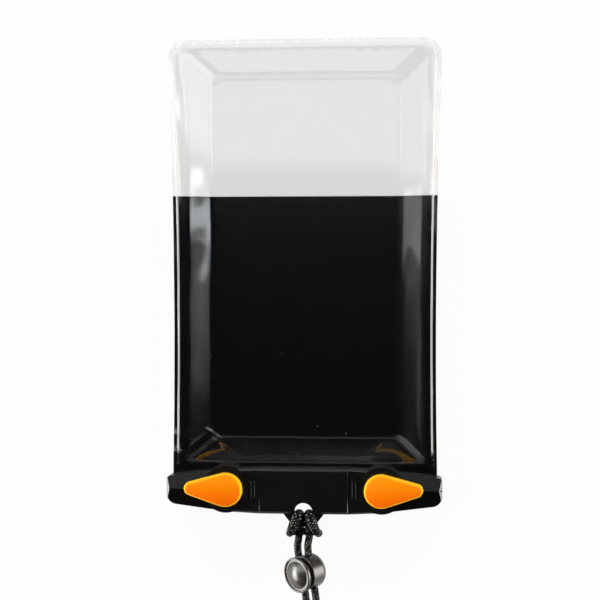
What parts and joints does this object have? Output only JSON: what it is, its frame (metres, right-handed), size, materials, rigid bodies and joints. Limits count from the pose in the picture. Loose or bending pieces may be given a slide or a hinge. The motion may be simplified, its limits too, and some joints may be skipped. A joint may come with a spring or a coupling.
{
  "type": "waterproof phone case",
  "caption": "Waterproof pouch for a phone: clear window, black back, clamping clip with twist levers, and a lanyard with a sprung cord lock.",
  "frame": {"origin": "centre of the case's footprint on the surface it lies on, without the lanyard", "axes": "+Y along the case from the clip to the rounded end, +Z out of its clear front"},
  "size_m": [0.1168, 0.2967, 0.0178],
  "materials": {
    "clear_sheet": "clear soft sheet, glossy",
    "black_sheet": "black soft sheet, glossy",
    "clip_plastic": "moulded, satin",
    "lever_plastic": "moulded, satin",
    "bolt_plastic": "moulded, satin",
    "braid": "round braided cord",
    "lock_plastic": "polished",
    "spring_steel": "drawn wire"
  },
  "bodies": {
    "pouch_and_clip": {"front_sheet": "clear_sheet", "rear_black_sheet": "black_sheet", "rear_window_sheet": "clear_sheet", "clip_front_bar": "clip_plastic", "clip_rear_bar": "clip_plastic", "lanyard_left": "braid", "lanyard_right": "braid", "lanyard_coil": "braid", "lanyard_end_knot": "braid"},
    "left_lever": {"lever_left": "lever_plastic", "cam_bolt_left": "bolt_plastic"},
    "right_lever": {"lever_right": "lever_plastic", "cam_bolt_right": "bolt_plastic"},
    "cord_lock": {"cord_lock_barrel": "lock_plastic", "cord_lock_spring": "spring_steel"},
    "lock_button": {"cord_lock_plunger": "lock_plastic"}
  },
  "joints": [
    {"name": "left_lever_turn", "type": "hinge", "parent": "pouch_and_clip", "child": "left_lever", "pos_m": [-0.0329, -0.0875, 0.012], "axis": [0, 0, 1], "range_deg": [0, 180]},
    {"name": "right_lever_turn", "type": "hinge", "parent": "pouch_and_clip", "child": "right_lever", "pos_m": [0.0329, -0.0875, 0.012], "axis": [0, 0, -1], "range_deg": [0, 180]},
    {"name": "cord_lock_slide", "type": "slide", "parent": "pouch_and_clip", "child": "cord_lock", "axis": [0.1908, -0.9816, 0], "range_m": [-0.002, 0.009]},
    {"name": "button_press", "type": "slide", "parent": "cord_lock", "child": "lock_button", "axis": [0.6568, 0.1277, -0.7431], "range_m": [0, 0.002], "stiffness_N_per_m": 500, "springref_m": -0.004, "deforming": ["cord_lock_spring"]}
  ]
}
